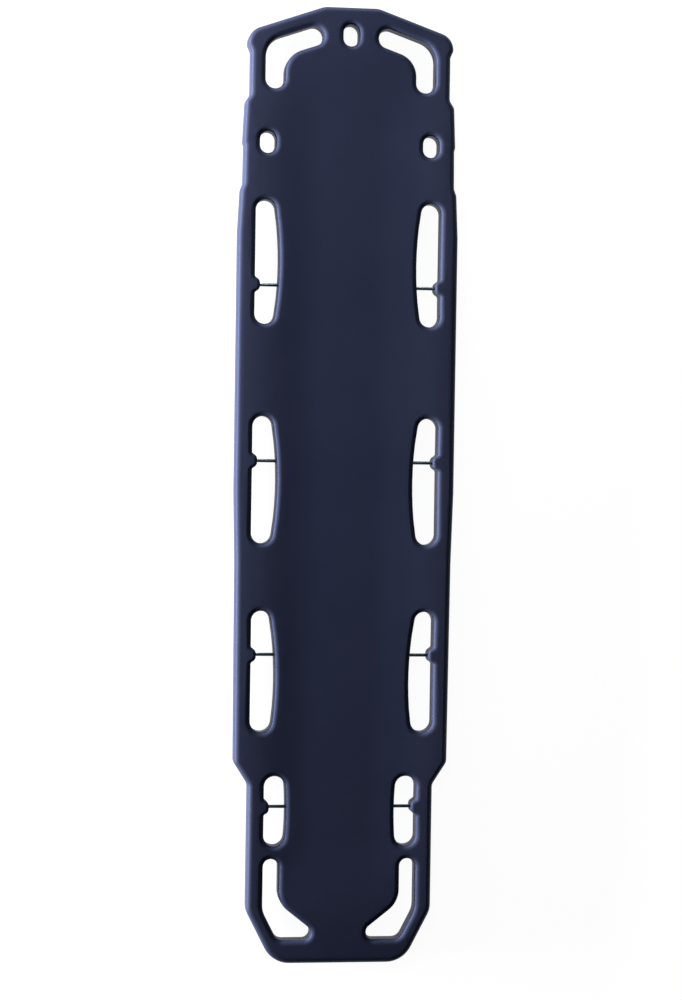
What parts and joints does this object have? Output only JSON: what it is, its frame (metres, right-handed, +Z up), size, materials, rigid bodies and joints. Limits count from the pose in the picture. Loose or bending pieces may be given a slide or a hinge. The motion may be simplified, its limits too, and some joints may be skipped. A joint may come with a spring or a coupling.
{
  "type": "spine board",
  "caption": "Long moulded rescue board with a shallow patient dish, hand slots along the rails, shaped grips at the ends and captive pins for strap clips.",
  "frame": {"origin": "middle of the board, on the surface that its runners stand on", "axes": "+Y towards the head end, +Z up out of the patient deck, +X to the right when seen from above with the head end at the top"},
  "size_m": [0.424, 1.829, 0.051],
  "materials": {
    "navy_polyethylene": "fine moulded grain with a low sheen",
    "pin_steel": "drawn stainless rod",
    "core_foam": "closed-cell foam",
    "glass_fibre": "pultruded glass fibre",
    "plug_plastic": "satin moulded plastic"
  },
  "bodies": {
    "root": {"deck_shell": "navy_polyethylene", "base_shell": "navy_polyethylene", "foam_core": "core_foam", "stiffener_right": "glass_fibre", "stiffener_left": "glass_fibre", "foam_fill_plug": "plug_plastic", "vent_plug": "plug_plastic", "strap_pin_1_right": "pin_steel", "strap_pin_1_left": "pin_steel", "strap_pin_2_right": "pin_steel", "strap_pin_2_left": "pin_steel", "strap_pin_3_right": "pin_steel", "strap_pin_3_left": "pin_steel", "strap_pin_4_right": "pin_steel", "strap_pin_4_left": "pin_steel"}
  },
  "joints": []
}
